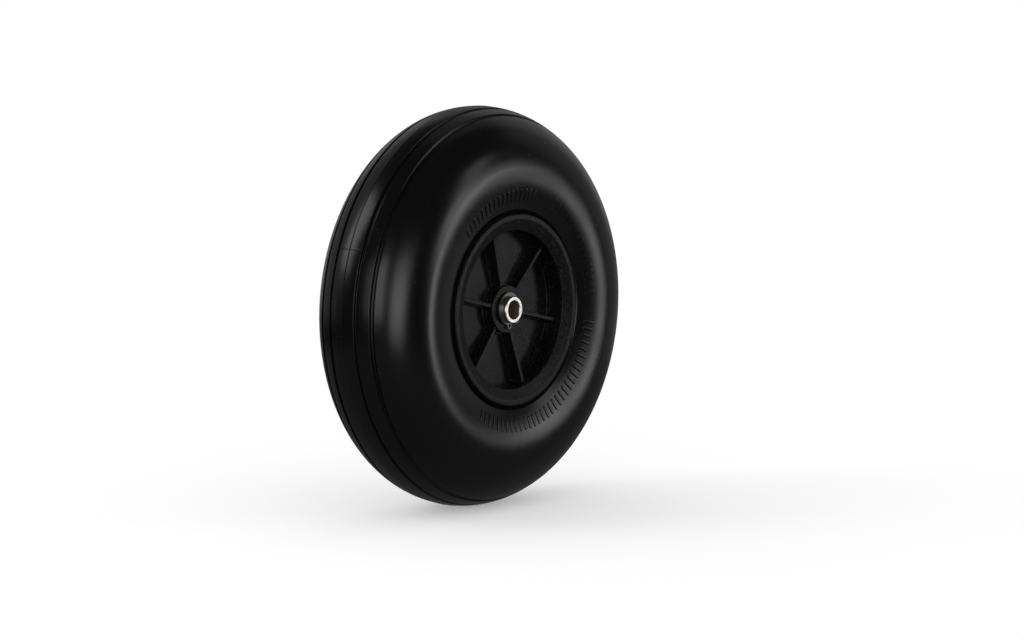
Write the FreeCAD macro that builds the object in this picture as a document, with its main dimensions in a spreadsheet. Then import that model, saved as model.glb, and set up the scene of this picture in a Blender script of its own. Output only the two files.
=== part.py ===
import FreeCAD, Part
import math
import os
import re
import Sketcher

# Light main wheel of a large model aircraft: a balloon tyre in foamed polyurethane, moulded in one
# piece, on a plastic rim of two halves. The rim turns on a metal sleeve that a circlip holds at
# each end, and the sleeve is bored for the axle.
#
# Frame: millimetres, +Z up, origin at the wheel's centre, axle along Y. The front of the wheel
# faces -Y. "Outward" is away from the mid-plane, towards the side that a piece belongs to.

SIZES = [
    # tyre
    ("tyre_diameter", 178.0, "over the middle of the tread"),
    ("tyre_width", 55.0, "over the sidewalls"),
    ("sidewall_radius", 45.0, "arc of the sidewall, from its fullest point down to the bead"),
    ("bead_moat", 0.6, "gap round the edge of the rim flange"),
    ("bead_lip", 1.2, "width of the bead's sloping edge, from the gap out to the sidewall"),
    ("centre_groove_offset", 7.0, "mid-plane to the middle of an inner tread groove"),
    ("side_groove_offset", 13.7, "mid-plane to the middle of an outer tread groove"),
    ("tread_groove_width", 1.5, "across one tread groove"),
    ("tread_groove_depth", 1.1, "down one tread groove"),
    # rim half
    ("flange_diameter", 85.0, "over the rim flange"),
    ("flange_offset", 25.0, "mid-plane to the outer face of the flange"),
    ("flange_thickness", 3.2, "of the flange at its edge"),
    ("flange_round", 0.7, "rounding of the flange's outer edge"),
    ("flange_band", 2.4, "width of the flat band on the flange"),
    ("barrel_diameter", 76.0, "seat of the tyre"),
    ("barrel_wall", 2.6, "wall of the barrel between the two floors"),
    ("dish_depth", 2.0, "from the flat band down to the lip of the well"),
    ("lip_round", 0.5, "rounding of the lip of the well"),
    ("well_wall", 3.0, "wall between the well and the seat of the tyre"),
    ("well_depth", 10.4, "flange face to the floor of the well"),
    ("floor_thickness", 2.5, "of the floor of the well"),
    ("floor_step_height", 1.5, "height of the ledge that runs round each pocket"),
    ("floor_step_width", 0.6, "width of that ledge"),
    ("rib_count", 6.0, "ribs between the boss and the wall of the well"),
    ("rib_thickness", 1.6, "of one rib"),
    ("rib_angle", 42.8, "first rib, degrees clockwise from the top, seen from outside"),
    ("rib_drop_at_wall", 4.7, "flange face down to the top of a rib at the wall"),
    ("rib_drop_at_boss", 6.2, "flange face down to the top of a rib at the boss"),
    ("pocket_corner", 1.2, "corner radius of a pocket between two ribs"),
    ("boss_diameter", 21.2, "hub boss"),
    ("boss_drop", 5.4, "flange face down to the face of the boss"),
    ("boss_round", 0.4, "rounding of the edge of the boss"),
    ("hub_wall", 3.0, "wall of the hub tube between the two floors"),
    ("register_length", 2.0, "how far the front barrel reaches into the rear one"),
    ("register_wall", 1.3, "wall of the ring that does so"),
    # sleeve and circlips
    ("sleeve_diameter", 12.0, "outside of the axle sleeve"),
    ("sleeve_bore", 8.0, "bore for the axle"),
    ("sleeve_reach", 2.5, "how far the sleeve stands out past a circlip"),
    ("sleeve_chamfer", 0.35, "at both edges of each end"),
    ("circlip_thickness", 1.0, "of the circlip's plate"),
    ("circlip_seat_diameter", 11.5, "floor of its groove in the sleeve"),
    ("circlip_width", 1.8, "radial width opposite the gap"),
    ("circlip_width_at_lug", 1.1, "radial width beside a lug"),
    ("circlip_angle", 157.5, "middle of the gap, degrees clockwise from the top, from outside"),
    ("lug_circle_radius", 7.25, "sleeve axis to the hole of a lug"),
    ("lug_half_angle", 22.5, "from the middle of the gap to the hole of a lug, degrees"),
    ("lug_radius", 1.5, "rounded end of a lug"),
    ("lug_hole_diameter", 1.5, "hole for the pliers"),
    ("lug_flat", 0.15, "how far a lug is cut back at the gap"),
    ("lug_fillet", 0.8, "hollow between a lug and the ring"),
    # fits
    ("bead_clearance", 0.1, "tyre to rim, all round"),
    ("register_clearance", 0.06, "between the two barrels, radial and at the end"),
    ("running_clearance", 0.05, "hub to sleeve, radial"),
    ("end_play", 0.25, "boss to circlip, each side"),
    ("groove_play", 0.05, "circlip to each side of its groove"),
    ("seat_clearance", 0.03, "circlip to the floor of its groove"),
]

SHEET = "Sizes"
SEARCH_TOLERANCE = 0.01     # mm, for finding an edge by its place
OUTSIDE = 5.0               # mm, how far a cutting outline stands clear of what it cuts


# ---------------------------------------------------------------- document helpers

def make_sheet(doc):
    """Spreadsheet of the driving sizes, one alias a row."""
    sheet = doc.addObject("Spreadsheet::Sheet", SHEET)
    for row, (alias, value, note) in enumerate(SIZES, start=1):
        sheet.set("A%d" % row, alias)
        sheet.set("B%d" % row, str(value))
        sheet.set("C%d" % row, note)
        sheet.setAlias("B%d" % row, alias)
    doc.recompute()
    return sheet


def bound(text):
    """Expression text in which every alias is written out as a reference to the sheet."""
    aliases = "|".join(alias for alias, value, note in SIZES)
    return re.sub(r"\b(%s)\b" % aliases, r"<<%s>>.\1" % SHEET, text)


def number(owner, text):
    """Value of an expression of the sheet."""
    return float(owner.evalExpression(bound(text)))


def new_body(doc, label, turn=0.0):
    """PartDesign body; turn rotates it about Z, which puts a piece on the front of the wheel."""
    body = doc.addObject("PartDesign::Body", label)
    body.Label = label
    body.Placement = FreeCAD.Placement(FreeCAD.Vector(), FreeCAD.Rotation(FreeCAD.Vector(0, 0, 1), turn))
    return body


def origin_item(body, role):
    """One of the body's own origin planes or axes."""
    return [item for item in body.Origin.OriginFeatures if item.Role == role][0]


def new_sketch(body, name, plane, height="0", spin="0"):
    """Sketch on an origin plane, moved outward by height and turned in its plane by spin."""
    sketch = body.newObject("Sketcher::SketchObject", name)
    sketch.AttachmentSupport = [(origin_item(body, plane), "")]
    sketch.MapMode = "FlatFace"
    outward = "-(%s)" if plane == "XZ_Plane" else "%s"      # the XZ plane's normal is -Y
    sketch.setExpression("AttachmentOffset.Base.z", bound(outward % height))
    sketch.setExpression("AttachmentOffset.Rotation.Angle", bound(spin))
    return sketch


def dimension(sketch, kind, *place, name, value):
    """Dimensional constraint bound to an expression of the sheet."""
    start = number(sketch, value)
    if kind == "Angle":
        start = math.radians(start)
        value = "(%s) * 1 deg" % value
    index = sketch.addConstraint(Sketcher.Constraint(kind, *place, start))
    sketch.renameConstraint(index, name)
    sketch.setExpression("Constraints." + name, bound(value))


def arc_between(start, end, radius):
    """Arc from start to end. A positive radius bows to the right of the way there, and a negative
    one to the left. Also gives which end of the arc lies at start and which at end."""
    size = abs(radius)
    along = end - start
    half = along.Length / 2.0
    left = FreeCAD.Vector(-along.y, along.x, 0).normalize()
    side = 1.0 if radius > 0 else -1.0
    centre = (start + end) * 0.5 + left * side * math.sqrt(max(size ** 2 - half ** 2, 0.0))
    first, last = (start, end) if radius > 0 else (end, start)
    angles = [math.atan2(p.y - centre.y, p.x - centre.x) for p in (first, last)]
    circle = Part.Circle(centre, FreeCAD.Vector(0, 0, 1), size)
    ends = (1, 2) if radius > 0 else (2, 1)
    return Part.ArcOfCircle(circle, angles[0], angles[1]), ends


def draw_outline(sketch, prefix, corners, bows=None):
    """Closed outline through corners, each a name with its two coordinates as expressions. bows
    names the corners where an arc starts, with its signed radius as an expression."""
    bows = bows or {}
    points = [FreeCAD.Vector(number(sketch, x), number(sketch, y), 0) for name, x, y in corners]
    edges = []
    for index, (name, x, y) in enumerate(corners):
        start = points[index]
        end = points[(index + 1) % len(points)]
        if name in bows:
            arc, ends = arc_between(start, end, number(sketch, bows[name]))
            edges.append((sketch.addGeometry(arc, False), ends))
        else:
            edges.append((sketch.addGeometry(Part.LineSegment(start, end), False), (1, 2)))
    for index, (edge, ends) in enumerate(edges):
        following, its_ends = edges[(index + 1) % len(edges)]
        sketch.addConstraint(Sketcher.Constraint("Coincident", edge, ends[1], following, its_ends[0]))
    for (name, x, y), (edge, ends) in zip(corners, edges):
        label = prefix + name
        dimension(sketch, "DistanceX", -1, 1, edge, ends[0], name=label + "_x", value=x)
        dimension(sketch, "DistanceY", -1, 1, edge, ends[0], name=label + "_y", value=y)
        if name in bows:
            size = bows[name].lstrip("-")
            dimension(sketch, "Radius", edge, name=label + "_bow", value=size)


def draw_circle(sketch, name, x, y, radius):
    """Circle with its centre and radius bound to expressions."""
    centre = FreeCAD.Vector(number(sketch, x), number(sketch, y), 0)
    circle = Part.Circle(centre, FreeCAD.Vector(0, 0, 1), number(sketch, radius))
    edge = sketch.addGeometry(circle, False)
    dimension(sketch, "DistanceX", -1, 1, edge, 3, name=name + "_x", value=x)
    dimension(sketch, "DistanceY", -1, 1, edge, 3, name=name + "_y", value=y)
    dimension(sketch, "Radius", edge, name=name + "_radius", value=radius)


def revolve(body, sketch, kind="PartDesign::Revolution"):
    """Turn a sketch of the XY plane all the way round the axle."""
    feature = body.newObject(kind, "Turned" + sketch.Name)
    feature.Profile = sketch
    feature.ReferenceAxis = (sketch, ["V_Axis"])
    feature.Angle = 360.0
    body.Document.recompute()
    return feature


def cut_outward(body, sketch):
    """Cut from the sketch's plane outward through everything."""
    feature = body.newObject("PartDesign::Pocket", "Cut" + sketch.Name)
    feature.Profile = sketch
    feature.Type = "ThroughAll"
    return feature


def round_edges(body, name, base, edges, radius):
    """Fillet on edges of the base feature."""
    feature = body.newObject("PartDesign::Fillet", name)
    feature.Base = (base, edges)
    feature.setExpression("Radius", bound(radius))
    body.Document.recompute()
    return feature


def rings_at(feature, places):
    """Names of the circular edges round the axle at places, each a radius and a height along Y."""
    found = []
    for index, edge in enumerate(feature.Shape.Edges, start=1):
        if not isinstance(edge.Curve, Part.Circle):
            continue
        centre = edge.Curve.Center
        for radius, height in places:
            near = math.hypot(edge.Curve.Radius - radius, centre.y - height) < SEARCH_TOLERANCE
            if near and math.hypot(centre.x, centre.z) < SEARCH_TOLERANCE:
                found.append("Edge%d" % index)
    if len(found) < len(places):
        raise RuntimeError("%s: an edge to round was not found" % feature.Name)
    return found


# ---------------------------------------------------------------- shared places

# Each is an expression of the sheet, and each seat is worked out from the piece that it fits.
TYRE_RADIUS = "tyre_diameter / 2"
SECTION_RADIUS = "tyre_width / 2"
SECTION_CENTRE = "(tyre_diameter - tyre_width) / 2"
FLANGE_RADIUS = "flange_diameter / 2"
FLANGE_BACK = "(flange_offset - flange_thickness)"
BARREL_RADIUS = "barrel_diameter / 2"
WELL_RADIUS = "(barrel_diameter / 2 - well_wall)"
FLOOR_LEVEL = "(flange_offset - well_depth)"
STEP_LEVEL = "(flange_offset - well_depth + floor_step_height)"
BOSS_RADIUS = "boss_diameter / 2"
BOSS_LEVEL = "(flange_offset - boss_drop)"
HUB_BORE_RADIUS = "(sleeve_diameter / 2 + running_clearance)"
CIRCLIP_LEVEL = "(flange_offset - boss_drop + end_play)"
CIRCLIP_FACE = "(flange_offset - boss_drop + end_play + circlip_thickness)"
SLEEVE_END = "(flange_offset - boss_drop + end_play + circlip_thickness + sleeve_reach)"


# ---------------------------------------------------------------- tyre

def make_tyre(doc):
    """Foam tyre: a full round section with a flatter sidewall down to the bead, and four grooves
    round the tread that leave a broad centre rib and two side ribs."""
    body = new_body(doc, "tyre")
    section = new_sketch(body, "TyreSection", "XY_Plane")
    bore = "barrel_diameter / 2 + bead_clearance"
    seat = "(flange_offset - flange_thickness - bead_clearance)"
    moat = "flange_diameter / 2 + bead_moat"
    bead_radius = moat + " + bead_lip"
    bead = ("(tyre_width / 2 - sidewall_radius + sqrt(sidewall_radius ^ 2"
            " - ((tyre_diameter - tyre_width) / 2 - (%s)) ^ 2))" % bead_radius)
    corners = [
        ("front_bore", bore, "-" + seat),
        ("front_moat", moat, "-" + seat),
        ("front_bead", bead_radius, "-" + bead),
        ("front_wall", SECTION_CENTRE, "-(tyre_width / 2)"),
        ("crown", TYRE_RADIUS, "0"),
        ("rear_wall", SECTION_CENTRE, SECTION_RADIUS),
        ("rear_bead", bead_radius, bead),
        ("rear_moat", moat, seat),
        ("rear_bore", bore, seat),
    ]
    bows = {
        "front_bead": "sidewall_radius",
        "front_wall": SECTION_RADIUS,
        "crown": SECTION_RADIUS,
        "rear_wall": "sidewall_radius",
    }
    draw_outline(section, "", corners, bows)
    revolve(body, section)

    grooves = new_sketch(body, "TreadGrooves", "XY_Plane")
    outside = "tyre_diameter / 2 + %s" % OUTSIDE
    for name, offset, sign in [("front_side", "side_groove_offset", "-"),
                               ("front_centre", "centre_groove_offset", "-"),
                               ("rear_centre", "centre_groove_offset", ""),
                               ("rear_side", "side_groove_offset", "")]:
        floor = ("(tyre_diameter - tyre_width) / 2 + sqrt((tyre_width / 2) ^ 2 - %s ^ 2)"
                 " - tread_groove_depth" % offset)
        near = "%s(%s - tread_groove_width / 2)" % (sign, offset)
        far = "%s(%s + tread_groove_width / 2)" % (sign, offset)
        draw_outline(grooves, name + "_", [
            ("near_floor", floor, near),
            ("near_top", outside, near),
            ("far_top", outside, far),
            ("far_floor", floor, far),
        ])
    body.Tip = revolve(body, grooves, "PartDesign::Groove")
    return body


# ---------------------------------------------------------------- rim

def draw_pocket(sketch, step):
    """Outline of the pocket between two ribs, about the sketch's X axis: two arcs round the hub,
    two straight sides along the ribs and four rounded corners. step insets it all round."""
    half_angle = "180 / rib_count"
    outer = "%s - %s" % (WELL_RADIUS, step)
    inner = "boss_diameter / 2 + %s" % step
    side = "rib_thickness / 2 + %s" % step
    corner = "pocket_corner"
    wide = math.radians(number(sketch, half_angle))
    big = number(sketch, outer)
    small = number(sketch, inner)
    inset = number(sketch, side)
    fillet = number(sketch, corner)
    up = FreeCAD.Vector(0, 0, 1)

    def in_sector(along, across, sign):
        """Point by its distances along and inside the centre line of the rib on one side."""
        x = along * math.cos(wide) + across * math.sin(wide)
        y = along * math.sin(wide) - across * math.cos(wide)
        return FreeCAD.Vector(x, sign * y, 0)

    def bearing(point, centre=FreeCAD.Vector()):
        return math.atan2(point.y - centre.y, point.x - centre.x)

    def along_at(distance, across):
        return math.sqrt(distance ** 2 - across ** 2)

    reach_out = along_at(big - fillet, inset + fillet)
    reach_in = along_at(small + fillet, inset + fillet)
    outer_centres = {sign: in_sector(reach_out, inset + fillet, sign) for sign in (-1, 1)}
    inner_centres = {sign: in_sector(reach_in, inset + fillet, sign) for sign in (-1, 1)}
    outer_sides = {sign: in_sector(reach_out, inset, sign) for sign in (-1, 1)}
    inner_sides = {sign: in_sector(reach_in, inset, sign) for sign in (-1, 1)}

    def arc(centre, radius, start, end):
        circle = Part.Circle(centre, up, radius)
        return sketch.addGeometry(Part.ArcOfCircle(circle, start, end), False)

    def line(start, end):
        return sketch.addGeometry(Part.LineSegment(start, end), False)

    middle = FreeCAD.Vector()
    outer_arc = arc(middle, big, bearing(outer_centres[-1]), bearing(outer_centres[1]))
    upper_out = arc(outer_centres[1], fillet, bearing(outer_centres[1]),
                    bearing(outer_sides[1], outer_centres[1]))
    upper_side = line(outer_sides[1], inner_sides[1])
    upper_in = arc(inner_centres[1], fillet, bearing(inner_sides[1], inner_centres[1]),
                   bearing(middle, inner_centres[1]))
    inner_arc = arc(middle, small, bearing(inner_centres[-1]), bearing(inner_centres[1]))
    lower_in = arc(inner_centres[-1], fillet, bearing(middle, inner_centres[-1]),
                   bearing(inner_sides[-1], inner_centres[-1]))
    lower_side = line(inner_sides[-1], outer_sides[-1])
    lower_out = arc(outer_centres[-1], fillet, bearing(outer_sides[-1], outer_centres[-1]),
                    bearing(outer_centres[-1]))

    joins = [
        (outer_arc, 2, upper_out, 1),
        (upper_out, 2, upper_side, 1),
        (upper_side, 2, upper_in, 1),
        (upper_in, 2, inner_arc, 2),
        (inner_arc, 1, lower_in, 1),
        (lower_in, 2, lower_side, 1),
        (lower_side, 2, lower_out, 1),
        (lower_out, 2, outer_arc, 1),
    ]
    for edge, end, following, its_end in joins:
        sketch.addConstraint(Sketcher.Constraint("Tangent", edge, end, following, its_end))
    for edge in (outer_arc, inner_arc):
        sketch.addConstraint(Sketcher.Constraint("Coincident", edge, 3, -1, 1))
    dimension(sketch, "Radius", outer_arc, name="outer", value=outer)
    dimension(sketch, "Radius", inner_arc, name="inner", value=inner)
    corners = [("upper_out", upper_out), ("upper_in", upper_in),
               ("lower_in", lower_in), ("lower_out", lower_out)]
    for name, edge in corners:
        dimension(sketch, "Radius", edge, name=name, value=corner)
    for name, edge, turned in [("upper_side", upper_side, "180 + %s" % half_angle),
                               ("lower_side", lower_side, "-(%s)" % half_angle)]:
        dimension(sketch, "Distance", -1, 1, edge, name=name, value=side)
        dimension(sketch, "Angle", edge, name=name + "_angle", value=turned)


def make_rim_half(doc, label, turn, joint_level, joint_radius):
    """Rim half: barrel, flange, dished lip, well with six ribs, floor and hub in one moulding.
    joint_level and joint_radius place the step where the two barrels meet."""
    body = new_body(doc, label, turn)
    section = new_sketch(body, label + "_section", "XY_Plane")
    barrel_inside = "barrel_diameter / 2 - barrel_wall"
    hub_outside = "sleeve_diameter / 2 + running_clearance + hub_wall"
    floor_back = "flange_offset - well_depth - floor_thickness"
    draw_outline(section, "", [
        ("barrel_end", BARREL_RADIUS, "0"),
        ("flange_root", BARREL_RADIUS, FLANGE_BACK),
        ("flange_back", FLANGE_RADIUS, FLANGE_BACK),
        ("flange_edge", FLANGE_RADIUS, "flange_offset"),
        ("band_edge", "flange_diameter / 2 - flange_band", "flange_offset"),
        ("lip", WELL_RADIUS, "flange_offset - dish_depth"),
        ("rib_at_wall", WELL_RADIUS, "flange_offset - rib_drop_at_wall"),
        ("rib_at_boss", BOSS_RADIUS, "flange_offset - rib_drop_at_boss"),
        ("boss_edge", BOSS_RADIUS, BOSS_LEVEL),
        ("bore_mouth", HUB_BORE_RADIUS, BOSS_LEVEL),
        ("bore_end", HUB_BORE_RADIUS, "0"),
        ("hub_end", hub_outside, "0"),
        ("hub_root", hub_outside, floor_back),
        ("floor_back", barrel_inside, floor_back),
        ("joint_inside", barrel_inside, joint_level),
        ("joint_step", joint_radius, joint_level),
        ("joint_corner", joint_radius, "0"),
    ])
    turned = revolve(body, section)

    flange_radius = number(section, FLANGE_RADIUS)
    edge_places = [(flange_radius, number(section, "flange_offset"))]
    rounded = round_edges(body, label + "_flange_round", turned, rings_at(turned, edge_places),
                          "flange_round")
    lip_places = [(number(section, WELL_RADIUS), number(section, "flange_offset - dish_depth"))]
    rounded = round_edges(body, label + "_lip_round", rounded, rings_at(rounded, lip_places), "lip_round")
    boss_places = [(number(section, BOSS_RADIUS), number(section, BOSS_LEVEL))]
    round_edges(body, label + "_boss_round", rounded, rings_at(rounded, boss_places), "boss_round")

    # A pocket's middle lies half a rib pitch past a rib. Seen from outside, clockwise from the top
    # is anticlockwise from the sketch's X axis, a quarter turn on.
    middle = "90 + rib_angle + 180 / rib_count"
    cuts = []
    for name, height, step in [("_pocket", STEP_LEVEL, "0"),
                               ("_pocket_floor", FLOOR_LEVEL, "floor_step_width")]:
        outline = new_sketch(body, label + name, "XZ_Plane", height, middle)
        draw_pocket(outline, step)
        cuts.append(cut_outward(body, outline))
    pattern = body.newObject("PartDesign::PolarPattern", label + "_pockets")
    pattern.Originals = cuts
    pattern.Axis = (origin_item(body, "Y_Axis"), [""])
    pattern.Angle = 360.0
    pattern.setExpression("Occurrences", bound("rib_count"))
    body.Tip = pattern
    return body


# ---------------------------------------------------------------- sleeve

def make_sleeve(doc):
    """Turned sleeve: plain bore, chamfered ends and a groove near each end for a circlip."""
    body = new_body(doc, "axle_sleeve")
    section = new_sketch(body, "SleeveSection", "XY_Plane")
    bore = "sleeve_bore / 2"
    outside = "sleeve_diameter / 2"
    seat = "circlip_seat_diameter / 2"
    near = "(%s - groove_play)" % CIRCLIP_LEVEL
    far = "(%s + groove_play)" % CIRCLIP_FACE
    chamfered_end = "(%s - sleeve_chamfer)" % SLEEVE_END
    draw_outline(section, "", [
        ("front_bore", bore, "-" + chamfered_end),
        ("front_mouth", bore + " + sleeve_chamfer", "-" + SLEEVE_END),
        ("front_face", outside + " - sleeve_chamfer", "-" + SLEEVE_END),
        ("front_edge", outside, "-" + chamfered_end),
        ("front_groove_out", outside, "-" + far),
        ("front_seat_out", seat, "-" + far),
        ("front_seat_in", seat, "-" + near),
        ("front_groove_in", outside, "-" + near),
        ("rear_groove_in", outside, near),
        ("rear_seat_in", seat, near),
        ("rear_seat_out", seat, far),
        ("rear_groove_out", outside, far),
        ("rear_edge", outside, chamfered_end),
        ("rear_face", outside + " - sleeve_chamfer", SLEEVE_END),
        ("rear_mouth", bore + " + sleeve_chamfer", SLEEVE_END),
        ("rear_bore", bore, chamfered_end),
    ])
    body.Tip = revolve(body, section)
    return body


# ---------------------------------------------------------------- circlips

def make_circlip(doc, label, turn):
    """Stamped circlip: an eccentric ring that narrows towards the gap, with a drilled lug at each
    end of it."""
    body = new_body(doc, label, turn)
    spin = "90 + circlip_angle"
    inside = "circlip_seat_diameter / 2 + seat_clearance"
    outside = "%s + (circlip_width + circlip_width_at_lug) / 2" % inside
    shift = "-((circlip_width - circlip_width_at_lug) / 2)"
    lug_x = "lug_circle_radius * cos(lug_half_angle * 1 deg)"
    lug_y = "lug_circle_radius * sin(lug_half_angle * 1 deg)"

    def plate(name):
        return new_sketch(body, label + name, "XZ_Plane", CIRCLIP_LEVEL, spin)

    def pad_outward(sketch):
        feature = body.newObject("PartDesign::Pad", sketch.Name + "_pad")
        feature.Profile = sketch
        feature.setExpression("Length", bound("circlip_thickness"))
        feature.Reversed = True
        doc.recompute()
        return feature

    ring = plate("_ring")
    draw_circle(ring, "outside", shift, "0", outside)
    draw_circle(ring, "inside", "0", "0", inside)
    pad_outward(ring)
    for side, sign in [("near", ""), ("far", "-")]:
        lug = plate("_%s_lug" % side)
        draw_circle(lug, "lug", lug_x, "%s(%s)" % (sign, lug_y), "lug_radius")
        joined = pad_outward(lug)

    ring_centre = FreeCAD.Vector(number(ring, shift), 0, 0)
    ring_radius = number(ring, outside)
    lug_radius = number(ring, "lug_radius")
    lug_centres = [FreeCAD.Vector(number(ring, lug_x), sign * number(ring, lug_y), 0) for sign in (1, -1)]
    into_sketch = ring.getGlobalPlacement().inverse().multiply(body.Placement)
    hollows = []
    for index, edge in enumerate(joined.Shape.Edges, start=1):
        ends = [into_sketch.multVec(vertex.Point) for vertex in edge.Vertexes]
        if len(ends) < 2 or abs(ends[0].z - ends[1].z) < SEARCH_TOLERANCE:
            continue
        place = FreeCAD.Vector(ends[0].x, ends[0].y, 0)
        for centre in lug_centres:
            on_lug = abs((place - centre).Length - lug_radius) < SEARCH_TOLERANCE
            on_ring = abs((place - ring_centre).Length - ring_radius) < SEARCH_TOLERANCE
            if on_lug and on_ring and abs(place.y) > abs(centre.y):
                hollows.append("Edge%d" % index)
    if len(hollows) != len(lug_centres):
        raise RuntimeError("%s: found %d hollows beside the lugs" % (label, len(hollows)))
    round_edges(body, label + "_lug_fillet", joined, hollows, "lug_fillet")

    opening = plate("_gap")
    half_gap = "(%s - lug_radius + lug_flat)" % lug_y
    draw_outline(opening, "", [
        ("inner_low", "0", "-" + half_gap),
        ("outer_low", "lug_circle_radius + %s" % OUTSIDE, "-" + half_gap),
        ("outer_high", "lug_circle_radius + %s" % OUTSIDE, half_gap),
        ("inner_high", "0", half_gap),
    ])
    cut_outward(body, opening)
    holes = plate("_holes")
    for side, sign in [("near", ""), ("far", "-")]:
        draw_circle(holes, side, lug_x, "%s(%s)" % (sign, lug_y), "lug_hole_diameter / 2")
    body.Tip = cut_outward(body, holes)
    return body


# ---------------------------------------------------------------- the whole wheel

def check(doc, bodies):
    """Stop before writing if any feature failed or any piece is not one sound solid."""
    for item in doc.Objects:
        if "Invalid" in item.State or "Error" in item.State:
            raise RuntimeError("%s failed: %s" % (item.Name, item.State))
    for body in bodies:
        shape = body.Shape
        if shape.isNull() or not shape.isValid() or len(shape.Solids) != 1:
            raise RuntimeError("%s is not one valid solid" % body.Label)


def main():
    doc = FreeCAD.newDocument("wheel")
    make_sheet(doc)
    front = 180.0
    rear = 0.0
    joint_middle = "barrel_diameter / 2 - barrel_wall + register_wall"
    bodies = [
        make_tyre(doc),
        make_rim_half(doc, "rim_front", front, "-(register_length)", joint_middle),
        make_rim_half(doc, "rim_rear", rear, "register_length + register_clearance",
                      joint_middle + " + register_clearance"),
        make_sleeve(doc),
        make_circlip(doc, "circlip_front", front),
        make_circlip(doc, "circlip_rear", rear),
    ]
    doc.recompute()
    check(doc, bodies)
    os.makedirs("parts", exist_ok=True)
    for body in bodies:
        body.Shape.exportStep(os.path.join("parts", body.Label + ".step"))
        print("%-14s %10.1f mm3" % (body.Label, body.Shape.Volume))


main()
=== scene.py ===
import math

import bmesh
import bpy
import numpy as np
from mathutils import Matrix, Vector


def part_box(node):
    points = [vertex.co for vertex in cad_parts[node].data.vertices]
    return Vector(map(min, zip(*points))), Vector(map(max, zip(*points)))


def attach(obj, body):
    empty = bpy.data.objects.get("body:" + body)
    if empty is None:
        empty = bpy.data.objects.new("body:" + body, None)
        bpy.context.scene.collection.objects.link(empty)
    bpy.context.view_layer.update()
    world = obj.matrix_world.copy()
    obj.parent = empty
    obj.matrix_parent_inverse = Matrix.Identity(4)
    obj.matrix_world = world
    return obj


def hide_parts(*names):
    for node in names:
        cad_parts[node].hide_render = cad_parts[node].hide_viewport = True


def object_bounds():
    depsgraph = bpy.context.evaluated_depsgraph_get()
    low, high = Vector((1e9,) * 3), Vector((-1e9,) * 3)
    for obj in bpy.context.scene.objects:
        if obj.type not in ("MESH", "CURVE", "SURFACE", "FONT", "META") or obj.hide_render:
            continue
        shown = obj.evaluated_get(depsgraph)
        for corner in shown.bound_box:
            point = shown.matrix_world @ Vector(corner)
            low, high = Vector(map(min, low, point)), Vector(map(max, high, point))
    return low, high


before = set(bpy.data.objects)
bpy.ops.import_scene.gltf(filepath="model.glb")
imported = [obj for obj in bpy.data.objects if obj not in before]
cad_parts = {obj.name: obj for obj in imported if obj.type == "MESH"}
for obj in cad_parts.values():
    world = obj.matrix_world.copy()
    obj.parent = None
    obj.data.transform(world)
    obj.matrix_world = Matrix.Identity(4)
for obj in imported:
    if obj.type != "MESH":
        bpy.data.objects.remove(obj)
cad_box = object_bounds()

# Light main wheel of a large model aircraft. Everything is in metres, in the frame of the packed
# model: origin at the wheel's centre, axle along Y, +Z up, the front of the wheel towards -Y.
# A place on the wheel is given by its radius from the axle, its reach outward from the mid-plane
# and its turn clockwise from the top, seen from outside.

MM = 0.001
FULL_TURN = 2 * math.pi


# ---------------------------------------------------------------- sizes

def half_span(node, axis):
    """Half of what a node measures along one axis, from the frame."""
    low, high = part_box(node)
    return (high[axis] - low[axis]) / 2


# tyre
TREAD_SLACK = 0.02 * MM         # keeps the tread inside the box that the solid's facets fill
TYRE_RADIUS = half_span("tyre", 2) - TREAD_SLACK
SECTION_RADIUS = half_span("tyre", 1)
SECTION_CENTRE = TYRE_RADIUS - SECTION_RADIUS
SIDEWALL_RADIUS = 45.0 * MM
CENTRE_GROOVE = 7.0 * MM
SIDE_GROOVE = 13.7 * MM
GROOVE_WIDTH = 1.5 * MM
GROOVE_DEPTH = 1.1 * MM
GROOVE_LIP = 0.45 * MM
TREAD_EDGE = 3.0 * MM           # from an outer groove to the shoulder
RIDGE_HEIGHT = 0.50 * MM
RIDGE_WIDTH = 0.20 * MM
SEAM_HEIGHT = 0.10 * MM
SEAM_WIDTH = 0.20 * MM
INSERT_TURN = math.radians(291.0)
INSERT_WIDTH = 0.22 * MM
INSERT_HEIGHT = 0.07 * MM
BAR_ARCS = [(-44.0, 12.0), (29.0, 86.0), (101.0, 211.0)]     # degrees, first and last bar of each arc
BAR_PITCH = math.radians(3.6)
BAR_CIRCLE = 51.0 * MM
BAR_LENGTH = 5.8 * MM
BAR_WIDTH = 1.3 * MM
BAR_HEIGHT = 0.35 * MM
BAR_ROOT = 0.25 * MM
BEAD_FOOT = 0.15 * MM
BEAD_MOAT = 0.6 * MM
BEAD_LIP = 1.2 * MM
BEAD_ROUND = 0.9 * MM
BEAD_CLEARANCE = 0.1 * MM
SEAT_ROUND = 0.2 * MM

# rim half
FLANGE_RADIUS = half_span("rim_front", 2)
FLANGE_FACE = -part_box("rim_front")[0][1]
FLANGE_THICKNESS = 3.2 * MM
FLANGE_BAND = 2.4 * MM
FLANGE_ROUND = 0.7 * MM
FLANGE_BACK_ROUND = 0.2 * MM
DISH_DEPTH = 2.0 * MM
DISH_ROUND = 1.5 * MM
LIP_ROUND = 0.5 * MM
BARREL_RADIUS = 38.0 * MM
BARREL_WALL = 2.6 * MM
WELL_RADIUS = 35.0 * MM
WELL_DEPTH = 10.4 * MM
FLOOR_THICKNESS = 2.5 * MM
LEDGE_HEIGHT = 1.5 * MM
LEDGE_WIDTH = 0.6 * MM
RIB_COUNT = 6
RIB_THICKNESS = 1.6 * MM
RIB_ANGLE = math.radians(42.8)
RIB_DROP_AT_WALL = 4.7 * MM
RIB_DROP_AT_BOSS = 6.2 * MM
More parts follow.
